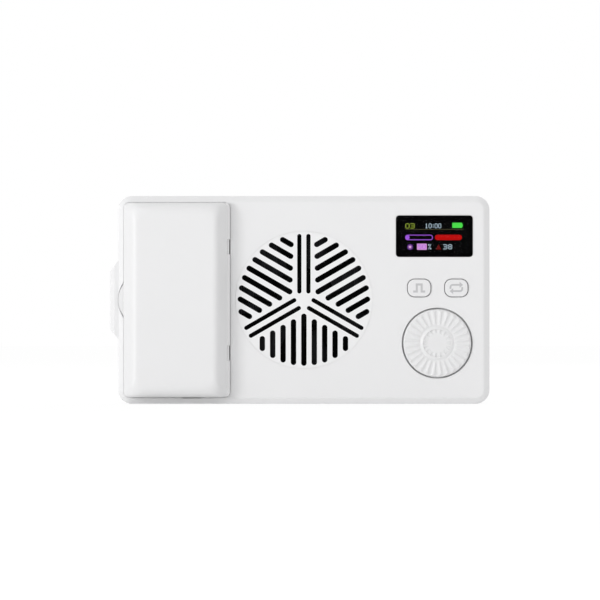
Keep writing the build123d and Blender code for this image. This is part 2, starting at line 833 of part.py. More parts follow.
# Lamps and cooling
def heat_sink():
    """A plate behind the lamp board with upright fins in the air stream of the fan."""
    plate = Rectangle(led_board_width - 2 * sink_margin, led_board_height - 2 * sink_margin)
    sink = slab(Pos(0, mid_z) * plate, sink_y, led_board_y)
    fin_height = led_board_height - 2 * (sink_margin + fin_end_margin)
    fin_span = fan_size - 2 * fin_side_margin - fin_thickness
    for number in range(fin_count):
        x = fan_x + (number / (fin_count - 1) - 1 / 2) * fin_span
        sink += slab(Pos(x, mid_z) * Rectangle(fin_thickness, fin_height), fin_y, sink_y)
    head_end_y = sink_y + led_screw_head_height
    sink -= posts(led_boss_places, led_screw_head_radius + screw_fit, sink_y, head_end_y)
    return sink - posts(led_boss_places, led_screw_radius + screw_fit, sink_y, led_board_y)


def led_board():
    board = Pos(0, mid_z) * Rectangle(led_board_width, led_board_height)
    for x, z in led_boss_places:
        board -= Pos(x, z) * Circle(led_screw_radius + screw_fit)
    return slab(board, led_board_y, led_board_end_y)


def led_board_screws():
    return [screw(x, z, sink_y, 1, led_screw_head_radius, led_screw_head_height,
                  led_screw_radius, led_screw_length) for x, z in led_boss_places]


def led_emitter(x, z):
    dome_y = led_board_end_y + emitter_base
    package = slab(Pos(x, z) * Rectangle(emitter_side, emitter_side), led_board_end_y, dome_y)
    dome = Pos(x, dome_y, z) * Sphere(emitter_dome_radius)
    return package + (dome & post(x, z, emitter_side, dome_y, dome_y + emitter_dome_radius))


def lens_slope():
    cone_end = lens_radius - lens_flange_width
    return (cone_end - lens_base_radius) / (lens_depth - lens_flange)


def lens_holder(x, z):
    """A ring on the lamp board, with a cup that centres the narrow end of a lens."""
    cup_y = lens_y + holder_cup
    seat_radius = lens_base_radius + screw_fit
    cup_radius = seat_radius + lens_slope() * holder_cup
    return turned([(holder_bore_radius, led_board_end_y), (cup_radius + holder_wall, led_board_end_y),
                   (cup_radius + holder_wall, cup_y), (cup_radius, cup_y), (seat_radius, lens_y),
                   (holder_bore_radius, lens_y)], x, z)


def led_lens(x, z):
    """A collimating lens: a clear cone with a hollow over its lamp and a thin rim in the bezel."""
    rim_y = lens_end_y - lens_flange
    return turned([(0, lens_y + lens_cavity_depth), (lens_cavity_radius, lens_y + lens_cavity_depth),
                   (lens_cavity_radius, lens_y), (lens_base_radius, lens_y),
                   (lens_radius - lens_flange_width, rim_y), (lens_radius, rim_y),
                   (lens_radius, lens_end_y), (0, lens_end_y)], x, z)


# Control board, screen and buttons
def control_board():
    width = board_right - board_left
    height = board_top - board_bottom
    board = Pos((board_left + board_right) / 2, (board_bottom + board_top) / 2) * Rectangle(width, height)
    for x, z in board_boss_places:
        board -= Pos(x, z) * Circle(board_screw_radius + screw_fit)
    for x, z in case_boss_places[2:]:
        reach = case_boss_radius + board_notch_gap
        away = case_boss_inset if z > mid_z else -case_boss_inset
        board -= Pos(x + case_boss_inset, z + away) * Rectangle(2 * (reach + case_boss_inset),
                                                                2 * (reach + case_boss_inset))
    return slab(board, board_y, board_end_y)


def board_screws():
    head_y = board_end_y + board_screw_head_height
    return [screw(x, z, head_y, -1, board_screw_head_radius, board_screw_head_height,
                  board_screw_radius, board_screw_length) for x, z in board_boss_places]


def display_window():
    return pane(screen_x, screen_z, window_width, window_height, window_corner,
                rear_y, rear_y + window_thickness)


def display_module():
    glass_y = module_y + module_glass
    module = slab(Pos(screen_x, screen_z) * Rectangle(module_width, module_height), glass_y, module_end_y)
    glass = Rectangle(module_width - 2 * module_glass_margin, module_height - 2 * module_glass_margin)
    return module + slab(Pos(screen_x, screen_z) * glass, module_y, glass_y)


def display_frame():
    """A holder between the screen and the board."""
    width = module_width - 2 * display_frame_inset
    height = module_height - 2 * display_frame_inset
    ring = Rectangle(width, height)
    ring -= Rectangle(width - 2 * display_frame_wall, height - 2 * display_frame_wall)
    return slab(Pos(screen_x, screen_z) * ring, module_end_y, board_y)


def button_cap(x):
    """A key with a soft edge, a flange that keeps it in the case and a stem over its switch."""
    cap = pane(x, button_rise, button_hole_width - 2 * button_gap, button_hole_height - 2 * button_gap,
               button_hole_corner - button_gap, button_y, button_stem_y)
    cap = fillet(cap.faces().sort_by(Axis.Y)[0].edges(), button_edge_round)
    cap += pane(x, button_rise, button_hole_width + 2 * button_flange_width,
                button_hole_height + 2 * button_flange_width, button_hole_corner,
                button_flange_y, button_stem_y)
    return cap + post(x, button_rise, button_stem_radius, button_stem_y, switch_top_y)


def switch_body(x):
    body = slab(Pos(x, button_rise) * Rectangle(switch_side, switch_side), switch_y, board_y)
    return body - post(x, button_rise, switch_plunger_radius + switch_plunger_fit,
                       switch_y, switch_plunger_end_y + button_travel + switch_spare)


def switch_plunger(x):
    return post(x, button_rise, switch_plunger_radius, switch_top_y, switch_plunger_end_y)


def usb_outline(grow):
    outline = SlotOverall(usb_width + 2 * grow, usb_height + 2 * grow, rotation=90)
    return Pos(board_end_y + usb_height / 2, usb_rise) * outline


def usb_opening():
    return extrude(Plane.YZ.offset(right_x - wall - usb_inset) * usb_outline(usb_fit), wall + overrun)


def usb_port():
    """The charging socket, open at the side of the case."""
    start_x = right_x - usb_inset - usb_length
    port = extrude(Plane.YZ.offset(start_x) * usb_outline(0), usb_length)
    port -= extrude(Plane.YZ.offset(start_x + usb_back) * usb_outline(-usb_shell), usb_length)
    tongue = Pos(board_end_y + usb_height / 2, usb_rise) * Rectangle(usb_tongue_thickness, usb_tongue_width)
    return port + extrude(Plane.YZ.offset(start_x) * tongue, usb_length - usb_tongue_short)


# Knob and encoder
def face_flutes(count, depth, inner, outer):
    """Shallow grooves that fan out from the axis, deepest at the outer end of the ring."""
    half_share = flute_width_share * math.pi / count
    depth_share = depth / outer
    spread = half_share ** 2 / depth_share
    cone_slope = (spread + depth_share) / 2
    lift = math.degrees(math.atan((spread - depth_share) / 2))
    cone = Cone(cone_slope * inner, cone_slope * outer, outer - inner,
                align=(Align.CENTER, Align.CENTER, Align.MIN))
    groove = Rot(0, 0, -lift) * Rot(0, 90, 0) * Pos(0, 0, inner) * cone
    turns = [number * 360 / count for number in range(count)]
    return [Pos(knob_x, knob_y, knob_z) * Rot(0, turn, 0) * groove for turn in turns]


def shaft_section(radius):
    """A round with one flat, as the end of the encoder shaft has."""
    return Circle(radius) - Pos(2 * radius - encoder_flat, 0) * Rectangle(2 * radius, 2 * radius)


def knob_cap():
    dish_y = knob_y + knob_dish_depth
    roof_y = knob_y + knob_roof
    skirt_radius = knob_radius - knob_skirt
    face = [(0, dish_y), (knob_dish_inner, dish_y), (knob_dish_radius, knob_y), (knob_groove_inner, knob_y),
            (knob_groove_middle, knob_y + knob_groove_depth), (knob_flute_inner, knob_y),
            (knob_radius - knob_edge_round, knob_y), (knob_radius, knob_y + knob_edge_round)]
    inside = [(knob_radius, knob_skirt_y), (skirt_radius, knob_skirt_y), (skirt_radius, roof_y),
              (knob_hub_radius, roof_y), (knob_hub_radius, knob_skirt_y), (0, knob_skirt_y)]
    cap = turned(face + inside, knob_x, knob_z)
    cap -= face_flutes(knob_flute_count, knob_flute_depth, knob_groove_middle,
                       knob_radius + knob_edge_round)
    cap -= face_flutes(knob_scallop_count, knob_scallop_depth, knob_dish_inner, knob_scallop_outer)
    socket = Pos(knob_x, knob_z) * shaft_section(encoder_shaft_radius + encoder_socket_fit)
    return cap - slab(socket, encoder_socket_y, knob_skirt_y)


def encoder_shaft():
    flat_end_y = knob_skirt_y
    shaft = slab(Pos(knob_x, knob_z) * shaft_section(encoder_shaft_radius), encoder_shaft_y, flat_end_y)
    return shaft + post(knob_x, knob_z, encoder_shaft_radius, flat_end_y, encoder_shaft_end_y)


def encoder_bush():
    ring = Circle(encoder_bush_radius) - Circle(encoder_shaft_radius + encoder_shaft_fit)
    return slab(Pos(knob_x, knob_z) * ring, well_floor_y + encoder_bush_stand, encoder_y)


def encoder_body():
    body = slab(Pos(knob_x, knob_z) * Rectangle(encoder_side, encoder_side), encoder_y, board_y)
    body = chamfer(body.edges().filter_by(Axis.Y), encoder_chamfer)
    body -= post(knob_x, knob_z, encoder_shaft_radius + encoder_shaft_fit, encoder_y, encoder_chamber_y)
    return body - post(knob_x, knob_z, encoder_plunger_radius + encoder_plunger_fit,
                       encoder_chamber_y, encoder_chamber_end_y)


def encoder_plunger():
    return post(knob_x, knob_z, encoder_plunger_radius, encoder_plunger_y, encoder_plunger_end_y)


pieces = {
    "rear_shell": rear_shell(),
    "front_bezel": front_bezel(),
    "case_screws": case_screws(),
    "battery_cover": battery_cover(),
    "hinge_pin": hinge_pin(),
    "battery_cell_left": battery_cell(bay_x - cell_offset, True),
    "battery_cell_right": battery_cell(bay_x + cell_offset, False),
    "series_contact": series_contact(),
    "terminal_contacts": terminal_contacts(),
    "fan_grille": fan_grille(),
    "fan_frame": fan_frame(),
    "fan_rotor": fan_rotor(),
    "fan_shaft": fan_shaft(),
    "fan_bush": fan_bush(),
    "fan_stator": fan_stator(),
    "fan_screws": fan_screws(),
    "heat_sink": heat_sink(),
    "led_board": led_board(),
    "led_board_screws": led_board_screws(),
    "led_emitters": [led_emitter(x, z) for x, z in lens_places],
    "lens_holders": [lens_holder(x, z) for x, z in lens_places],
    "led_lenses": [led_lens(x, z) for x, z in lens_places],
    "control_board": control_board(),
    "board_screws": board_screws(),
    "display_window": display_window(),
    "display_module": display_module(),
    "display_frame": display_frame(),
    "mode_button": button_cap(mode_x),
    "mode_switch": switch_body(mode_x),
    "mode_plunger": switch_plunger(mode_x),
    "cycle_button": button_cap(cycle_x),
    "cycle_switch": switch_body(cycle_x),
    "cycle_plunger": switch_plunger(cycle_x),
    "usb_port": usb_port(),
    "knob_cap": knob_cap(),
    "encoder_shaft": encoder_shaft(),
    "encoder_bush": encoder_bush(),
    "encoder_body": encoder_body(),
    "encoder_plunger": encoder_plunger(),
}

os.makedirs("parts", exist_ok=True)
for name, piece in pieces.items():
    solids = piece if isinstance(piece, list) else [piece]
    whole = solids[0] if len(solids) == 1 else Compound(children=solids)
    export_step(whole, os.path.join("parts", name + ".step"))
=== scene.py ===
import math

import bmesh
import bpy
from mathutils import Matrix, Vector


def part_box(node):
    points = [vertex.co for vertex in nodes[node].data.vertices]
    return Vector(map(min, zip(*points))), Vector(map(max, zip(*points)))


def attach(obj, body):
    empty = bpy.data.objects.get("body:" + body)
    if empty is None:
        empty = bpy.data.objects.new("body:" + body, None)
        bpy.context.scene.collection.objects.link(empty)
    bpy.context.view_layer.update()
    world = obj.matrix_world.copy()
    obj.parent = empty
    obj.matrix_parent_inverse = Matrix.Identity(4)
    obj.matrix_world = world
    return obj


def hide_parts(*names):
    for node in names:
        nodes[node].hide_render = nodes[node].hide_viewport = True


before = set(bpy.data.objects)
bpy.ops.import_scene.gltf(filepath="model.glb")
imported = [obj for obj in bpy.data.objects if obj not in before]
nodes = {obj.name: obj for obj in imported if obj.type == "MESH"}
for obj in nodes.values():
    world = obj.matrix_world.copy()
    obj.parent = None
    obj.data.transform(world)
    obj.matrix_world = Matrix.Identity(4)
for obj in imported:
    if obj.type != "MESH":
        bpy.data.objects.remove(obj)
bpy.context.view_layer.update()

MM = 0.001

# Print on the keys and on the window, in metres
PRINT_THICKNESS = 0.03 * MM
PRINT_SINK = 0.01 * MM
KEY_SIGN_WIDTH = 4.3 * MM
KEY_SIGN_HEIGHT = 3.3 * MM
PULSE_WIDTH = 2.5 * MM
KEY_STROKE = 0.75 * MM
LOOP_WIDTH = 4.9 * MM
LOOP_HEIGHT = 2.9 * MM
LOOP_STROKE = 0.65 * MM
LOOP_BEND_SHARE = 0.8
ARROW_LENGTH = 1.3 * MM
ARROW_HALF_WIDTH = 1.05 * MM
WINDOW_CORNER = 1.2 * MM
MASK_BORDER = 1.9 * MM
MASK_CORNER = 0.5 * MM
MASK_DEPTH = 0.04 * MM

# Signs on the screen: left, right, top and bottom in shares of the window, from its top left corner
SCREEN_SHARES = {
    "programme": (0.124, 0.246, 0.191, 0.314),
    "clock": (0.38, 0.59, 0.193, 0.308),
    "charge": (0.733, 0.87, 0.175, 0.3),
    "rule": (0.124, 0.879, 0.327, 0.345),
    "left_level": (0.121, 0.482, 0.464, 0.594),
    "right_level": (0.508, 0.859, 0.464, 0.594),
    "level_box": (0.275, 0.402, 0.679, 0.826),
    "level": (0.289, 0.388, 0.7, 0.805),
    "percent": (0.421, 0.46, 0.69, 0.815),
    "heat_mark": (0.52, 0.591, 0.69, 0.82),
    "heat": (0.616, 0.732, 0.695, 0.815),
}
LEVEL_LIFT = 0.02 * MM
DOT_SHARE = 0.94
CHARGE_NOSE_SHARE = 0.07
CHARGE_GAP_SHARE = 0.25
LEVEL_RIM_SHARE = 0.14
LEVEL_FILL_SHARE = 0.16
SUN_CENTRE_SHARES = (0.185, 0.758)
SUN_RADIUS_SHARE = 0.036
RAY_HALF_WIDTH_SHARE = 0.011
RAY_NEAR_SHARE = 1.35
RAY_FAR_SHARE = 1.9
RAY_COUNT = 8

# Cells and case screws, in metres
CELL_BARE_END = 0.9 * MM
SCREW_HEAD_RADIUS = 2.1 * MM
SCREW_HEAD_HEIGHT = 1.6 * MM
SCREW_HEAD_EDGE = 0.3 * MM
SCREW_SHANK_RADIUS = 1.25 * MM
SCREW_THREAD_PITCH = 0.8 * MM
SCREW_THREAD_DEPTH = 0.22 * MM
SCREW_POINT = 1.2 * MM
CROSS_ARM = 1.3 * MM
CROSS_HALF = 0.3 * MM
CROSS_DEPTH = 0.7 * MM

# Fineness of the meshes
EDGE_STEPS = 2
BEND_STEPS = 6
DISC_STEPS = 24
TURNED_STEPS = 28
HEAD_STEPS = 32
SHARP_ANGLE = math.radians(35)

# Finishes: depths and reaches in metres, grain and lines as counts per metre
SHELL_GRAIN = 3200.0
SHELL_GRAIN_DEPTH = 0.02 * MM
KEY_GRAIN = 4200.0
KEY_GRAIN_DEPTH = 0.015 * MM
INNER_GRAIN = 2600.0
INNER_GRAIN_DEPTH = 0.03 * MM
PRINT_GRAIN = 4200.0
PRINT_GRAIN_DEPTH = 0.01 * MM
MASK_GRAIN_DEPTH = 0.005 * MM
LAMP_BOARD_GRAIN = 1500.0
LAMP_BOARD_DEPTH = 0.03 * MM
RESIN_GRAIN = 2400.0
RESIN_DEPTH = 0.01 * MM
PANE_GRAIN = 900.0
PANE_HAZE = 120.0
LENS_GRAIN = 1500.0
LENS_FACETS = 900.0
LENS_FACET_DEPTH = 0.1 * MM
BOARD_GRAIN = 2000.0
BOARD_TRACKS = 120.0
BOARD_TRACK_DEPTH = 0.05 * MM
SLEEVE_GRAIN = 700.0
SLEEVE_DEPTH = 0.05 * MM
METAL_DEPTH = 0.02 * MM
WINDING_DEPTH = 0.06 * MM
SINK_DEPTH = 0.03 * MM
# Painted shade in gaps and inside corners: how far it reaches and how far it darkens the colour
CREVICE_SHADE_REACH = 0.6 * MM
CREVICE_SHADE_SHARE = 0.6
RUB_REACH = 0.4 * MM
RUB_SHINE = 0.14
RUB_FULL_TURN = 0.75
CORNER_SAMPLES = 4
STREAKS_PER_TONE = 4.0
PLAIN_GLOSS = 0.5
GRAIN_BUMP = 0.25
LINE_BUMP = 0.15
DIM_SHARE = 0.75
WHITE = (1.0, 1.0, 1.0)
BLACK = (0.0, 0.0, 0.0)
PANE_TINT = (0.004, 0.004, 0.005)
LENS_TINT = (0.96, 0.96, 0.97)
BOARD_GREENS = ((0.012, 0.13, 0.05), (0.016, 0.16, 0.065))
TRACK_GREEN = (0.03, 0.24, 0.1)
SLEEVE_BLUES = ((0.022, 0.034, 0.05), (0.03, 0.046, 0.066))
CELL_END_GREYS = ((0.6, 0.6, 0.6), (0.7, 0.7, 0.69))

# How a metal's lines are drawn out, as scales along X, Y and Z
TURNED = (1.0, 0.15, 1.0)
PRESSED = (0.2, 1.0, 1.0)
WOUND = (1.0, 6.0, 1.0)
EXTRUDED = (1.0, 1.0, 0.05)

# Camera and stage in metres, the camera's sensor in millimetres and the power of softboxes in watts
VIEW_WIDTH = 216.3 * MM
VIEW_DISTANCE = 2.4
VIEW_CENTRE_X = -1.4 * MM
VIEW_CENTRE_Z = 37.47 * MM
VIEW_NEAREST = 0.05
SENSOR = 36.0
FLOOR_HALF = 3.0
FLOOR_DROP = 0.1 * MM
FLOOR_WHITE = (0.96, 0.96, 0.96)
FLOOR_ROUGHNESS = 0.9
FLOOR_GLOW = 1.02
FLOOR_GLOW_SHARE = 0.9
WORLD_LIGHT = 0.745
SOFTBOXES = {
    "key_softbox": {"place": (-1.0, -0.84, 0.2), "width": 0.32, "height": 0.32, "power": 5.2},
    "front_softbox": {"place": (0.1, -1.6, 0.1), "width": 1.0, "height": 0.4, "power": 2.5},
    "lamp_side_softbox": {"place": (0.6, 1.0, 0.6), "width": 0.8, "height": 0.8, "power": 3.2},
}


# Tools for meshes
def link(piece):
    bpy.context.scene.collection.objects.link(piece)
    return piece


def plate(name, loops, y, thickness, edge=0.0):
    """A plate facing the control side, from closed outlines in X and Z; an inner outline is a hole."""
    curve = bpy.data.curves.new(name, "CURVE")
    curve.dimensions = "2D"
    curve.fill_mode = "BOTH"
    curve.extrude = thickness / 2 - edge
    curve.bevel_depth = edge
    curve.bevel_resolution = EDGE_STEPS
    curve.offset = -edge
    for loop in loops:
        spline = curve.splines.new("POLY")
        spline.points.add(len(loop) - 1)
        for point, (x, z) in zip(spline.points, loop):
            point.co = (x, z, 0, 1)
        spline.use_cyclic_u = True
    drawing = link(bpy.data.objects.new(name + "_drawing", curve))
    mesh = bpy.data.meshes.new_from_object(drawing)
    bpy.data.objects.remove(drawing)
    bpy.data.curves.remove(curve)
    mesh.transform(Matrix.Translation((0, y, 0)) @ Matrix.Rotation(math.pi / 2, 4, "X"))
    mesh.name = name
    return link(bpy.data.objects.new(name, mesh))


def lathe(name, profile, x, z):
    """A profile of radius and depth, which begins and ends on its axis, turned about that axis along Y."""
    rings = profile[1:-1]
    turns = [math.tau * step / TURNED_STEPS for step in range(TURNED_STEPS)]
    points = [(x + radius * math.cos(turn), y, z + radius * math.sin(turn))
              for radius, y in rings for turn in turns]
    points += [(x, profile[0][1], z), (x, profile[-1][1], z)]
    first_end, last_end = len(points) - 2, len(points) - 1
    rows = range(0, first_end, TURNED_STEPS)
    faces = []
    for step in range(TURNED_STEPS):
        beside = (step + 1) % TURNED_STEPS
        faces.append((first_end, beside, step))
        for row, below in zip(rows, rows[1:]):
            faces.append((row + step, row + beside, below + beside, below + step))
        faces.append((last_end, rows[-1] + step, rows[-1] + beside))
    mesh = bpy.data.meshes.new(name)
    mesh.from_pydata(points, [], faces)
    return link(bpy.data.objects.new(name, mesh))


def joined(name, *pieces):
    """One piece from the meshes of several, smooth but for its sharp edges."""
    form = bmesh.new()
    for piece in pieces:
        form.from_mesh(piece.data)
        bpy.data.objects.remove(piece)
    mesh = bpy.data.meshes.new(name)
    form.to_mesh(mesh)
    form.free()
    mesh.shade_smooth()
    mesh.set_sharp_from_angle(angle=SHARP_ANGLE)
    return link(bpy.data.objects.new(name, mesh))


def bar(left, right, low, high):
    return [(left, low), (right, low), (right, high), (left, high)]


def arc(x, z, radius, start, end, steps=BEND_STEPS):
    """Points on a circle between two angles in degrees, both ends among them."""
    turns = [math.radians(start + (end - start) * step / steps) for step in range(steps + 1)]
    return [(x + radius * math.cos(turn), z + radius * math.sin(turn)) for turn in turns]


def circle(x, z, radius, steps):
    """Points all round a circle, each once."""
    return arc(x, z, radius, 0, 360, steps)[:-1]


def rounded_bar(left, right, low, high, radius):
    corners = ((right - radius, low + radius, 270), (right - radius, high - radius, 0),
               (left + radius, high - radius, 90), (left + radius, low + radius, 180))
    return [point for x, z, start in corners for point in arc(x, z, radius, start, start + 90)]


def dress(piece, body, material):
    piece.data.materials.clear()
    piece.data.materials.append(material)
    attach(piece, body)
    return piece


# Tools for shaders
def opaque(colour):
    return (*colour, 1.0)


def plug(tree, source, socket):
    """Links another node's output to a socket, or sets the socket's own value."""
    if isinstance(source, bpy.types.NodeSocket):
        tree.links.new(source, socket)
    else:
        socket.default_value = source


def feed(tree, node, **sources):
    """Plugs sources into a node's inputs; an underscore in a name stands for a space."""
    for name, source in sources.items():
        plug(tree, source, node.inputs[name.replace("_", " ")])
    return node


def add_node(tree, kind, **sources):
    return feed(tree, tree.nodes.new(kind), **sources)


def calculate(tree, operation, *terms, kind="ShaderNodeMath", result="Value"):
    """The result of a math node, with its terms plugged in order."""
    node = tree.nodes.new(kind)
    node.operation = operation
    for term, socket in zip(terms, node.inputs):
        plug(tree, term, socket)
    return node.outputs[result]


def object_place(tree):
    return tree.nodes.new("ShaderNodeTexCoord").outputs["Object"]


def span(tree, mask, low, high):
    """Carries a mask from 0 to 1 over to a range of values."""
    return add_node(tree, "ShaderNodeMapRange", Value=mask, To_Min=low, To_Max=high).outputs["Result"]


def blend_colours(tree, mask, first, second):
    """Goes from the first colour to the second as the mask goes from 0 to 1."""
    node = tree.nodes.new("ShaderNodeMix")
    node.data_type = "RGBA"
    plug(tree, mask, node.inputs["Factor"])
    for label, colour in (("A", first), ("B", second)):
        plug(tree, opaque(colour) if isinstance(colour, tuple) else colour, node.inputs[label])
    return node.outputs["Result"]


def bump(tree, shader, height, strength, depth):
    node = add_node(tree, "ShaderNodeBump", Height=height, Strength=strength, Distance=depth)
    feed(tree, shader, Normal=node.outputs["Normal"])


# Effects that several finishes share
def new_group(name, inputs, outputs):
    """An empty shader node group, its inputs holding the values that serve where a finish gives none."""
    group = bpy.data.node_groups.new(name, "ShaderNodeTree")
    for label, value in inputs.items():
        kind = "NodeSocketVector" if isinstance(value, tuple) else "NodeSocketFloat"
        socket = group.interface.new_socket(label, in_out="INPUT", socket_type=kind)
        socket.default_value = value
    for label in outputs:
        group.interface.new_socket(label, in_out="OUTPUT", socket_type="NodeSocketFloat")
    return group, group.nodes.new("NodeGroupInput").outputs, group.nodes.new("NodeGroupOutput")


def moulded_grain_group():
    """Fine moulded grain: a height for bump, a slow tone for colour and a streak for roughness."""
    inputs = {"Grain per metre": 3000.0, "Tone per metre": 40.0}
    group, given, out = new_group("moulded_grain", inputs, ("Height", "Tone", "Polish"))
    place = object_place(group)
    streaks = calculate(group, "MULTIPLY", given["Tone per metre"], STREAKS_PER_TONE)
    fine = add_node(group, "ShaderNodeTexNoise", Vector=place, Scale=given["Grain per metre"], Detail=3.0)
    slow = add_node(group, "ShaderNodeTexNoise", Vector=place, Scale=given["Tone per metre"], Detail=4.0)
    rub = add_node(group, "ShaderNodeTexNoise", Vector=place, Scale=streaks, Detail=6.0, Distortion=0.6)
    feed(group, out, Height=fine.outputs["Fac"], Tone=slow.outputs["Fac"], Polish=rub.outputs["Fac"])
    return group


def crevice_shade_group():
    """Painted shade in gaps and inside corners, as a mask from ambient occlusion."""
    group, given, out = new_group("crevice_shade", {"Reach": CREVICE_SHADE_REACH}, ("Mask",))
    shade = add_node(group, "ShaderNodeAmbientOcclusion", Distance=given["Reach"])
    shade.samples = CORNER_SAMPLES
    shade.only_local = True
    feed(group, out, Mask=calculate(group, "SUBTRACT", 1.0, shade.outputs["AO"]))
    return group


def edge_rub_group():
    """Where fingers and cloth polish an outer edge, as a mask."""
    group, given, out = new_group("edge_rub", {"Reach": RUB_REACH}, ("Mask",))
    soft = add_node(group, "ShaderNodeBevel", Radius=given["Reach"])
    soft.samples = CORNER_SAMPLES
    plain = group.nodes.new("ShaderNodeNewGeometry")
    turn = calculate(group, "DOT_PRODUCT", soft.outputs["Normal"], plain.outputs["Normal"],
                     kind="ShaderNodeVectorMath")
    lift = add_node(group, "ShaderNodeMapRange", Value=turn, From_Min=1.0, From_Max=RUB_FULL_TURN)
    feed(group, out, Mask=lift.outputs["Result"])
    return group


def drawn_lines_group():
    """Fine lines left by drawing, turning or winding, stretched along one axis."""
    inputs = {"Stretch": (1.0, 1.0, 1.0), "Lines per metre": 900.0}
    group, given, out = new_group("drawn_lines", inputs, ("Lines",))
    squeezed = calculate(group, "MULTIPLY", object_place(group), given["Stretch"],
                         kind="ShaderNodeVectorMath", result="Vector")
    lines = add_node(group, "ShaderNodeTexNoise", Vector=squeezed, Scale=given["Lines per metre"],
                     Detail=5.0)
    feed(group, out, Lines=lines.outputs["Fac"])
    return group


def screen_dots_group():
    """The dots of the lit screen, as a mask that is 0 at the middle of a dot."""
    group, given, out = new_group("screen_dots", {"Dots per metre": 6000.0}, ("Mask",))
    dots = add_node(group, "ShaderNodeTexVoronoi", Vector=object_place(group),
                    Scale=given["Dots per metre"], Randomness=0.0)
    feed(group, out, Mask=dots.outputs["Distance"])
    return group


GRAIN = moulded_grain_group()
# Painted shade in gaps and inside corners
CREVICE_SHADE = crevice_shade_group()
EDGE_RUB = edge_rub_group()
DRAWN_LINES = drawn_lines_group()
SCREEN_DOTS = screen_dots_group()


# Kinds of finish
def new_material(name, **values):
    """A material, with its plain values set on the shader's own inputs."""
    material = bpy.data.materials.new(name)
    material.use_nodes = True
    tree = material.node_tree
    return material, tree, feed(tree, tree.nodes["Principled BSDF"], **values)


def use_group(tree, group, **values):
    node = tree.nodes.new("ShaderNodeGroup")
    node.node_tree = group
    return feed(tree, node, **values).outputs


def moulded_plastic(name, colour, worn, roughness, grain, depth, gloss=PLAIN_GLOSS):
    """Moulded plastic: fine grain, slow tone drift and uneven polish."""
    material, tree, shader = new_material(name, Specular_IOR_Level=gloss)
    skin = use_group(tree, GRAIN, Grain_per_metre=grain)
    feed(tree, shader, Base_Color=blend_colours(tree, skin["Tone"], colour, worn),
         Roughness=span(tree, skin["Polish"], *roughness))
    bump(tree, shader, skin["Height"], GRAIN_BUMP, depth)
    return material


def handled_plastic(name, colour, worn, shade_colour, roughness, grain=SHELL_GRAIN, depth=SHELL_GRAIN_DEPTH):
    """Moulded plastic on the outside: painted shade in its gaps and corners, and edges polished by hands.
    """
    material = moulded_plastic(name, colour, worn, roughness, grain, depth)
    tree = material.node_tree
    shader = tree.nodes["Principled BSDF"]
    clean = shader.inputs["Base Color"].links[0].from_socket
    matt = shader.inputs["Roughness"].links[0].from_socket
    # Painted shade: the colour darkens towards the shade colour in gaps and inside corners
    shade_mask = span(tree, use_group(tree, CREVICE_SHADE)["Mask"], 0.0, CREVICE_SHADE_SHARE)
    shine = span(tree, use_group(tree, EDGE_RUB)["Mask"], 0.0, RUB_SHINE)
    feed(tree, shader, Base_Color=blend_colours(tree, shade_mask, clean, shade_colour),
         Roughness=calculate(tree, "SUBTRACT", matt, shine))
    return material


def metal(name, colour, dull, roughness, stretch, depth=METAL_DEPTH):
    """Plated, turned or wound metal with fine lines drawn out along one axis."""
    material, tree, shader = new_material(name, Metallic=1.0)
    lines = use_group(tree, DRAWN_LINES, Stretch=stretch)["Lines"]
    feed(tree, shader, Base_Color=blend_colours(tree, lines, colour, dull),
         Roughness=span(tree, lines, *roughness))
    bump(tree, shader, lines, LINE_BUMP, depth)
    return material


def glowing(name, colour):
    """A lit part of the screen: its colour, dimmer between the dots."""
    material, tree, shader = new_material(name, Base_Color=opaque(BLACK), Roughness=0.5,
                                          Specular_IOR_Level=0.0, Emission_Strength=1.0)
    dim = tuple(DIM_SHARE * part for part in colour)
    dots = use_group(tree, SCREEN_DOTS)["Mask"]
    feed(tree, shader, Emission_Color=blend_colours(tree, dots, colour, dim))
    return material


# Finishes
# Each white's third colour is the painted shade in its gaps and corners
SHELL_WHITE = handled_plastic("shell_white", colour=(0.79, 0.79, 0.795), worn=(0.77, 0.77, 0.775),
                              shade_colour=(0.64, 0.64, 0.63), roughness=(0.42, 0.52))
# Painted shade: the shell's white plastic, toned a little darker for the battery cover
HOOD_WHITE_SHADED = handled_plastic("hood_white_painted_shade", colour=(0.78, 0.78, 0.785), worn=(0.76, 0.76, 0.765),
                             shade_colour=(0.66, 0.66, 0.65), roughness=(0.38, 0.48))
# Painted light: the shell's white plastic, toned lighter and with lighter corner shade for the grille
GRILLE_WHITE_LIT = handled_plastic("grille_white_painted_light", colour=(0.81, 0.81, 0.815), worn=(0.795, 0.795, 0.80),
                               shade_colour=(0.72, 0.72, 0.71), roughness=(0.42, 0.52))
# Painted shade: the shell's white plastic, toned darker for the keys and knob
KEY_WHITE_SHADED = handled_plastic("key_white", colour=(0.77, 0.77, 0.775), worn=(0.75, 0.75, 0.755),
                            shade_colour=(0.66, 0.66, 0.65), roughness=(0.36, 0.46), grain=KEY_GRAIN,
                            depth=KEY_GRAIN_DEPTH)
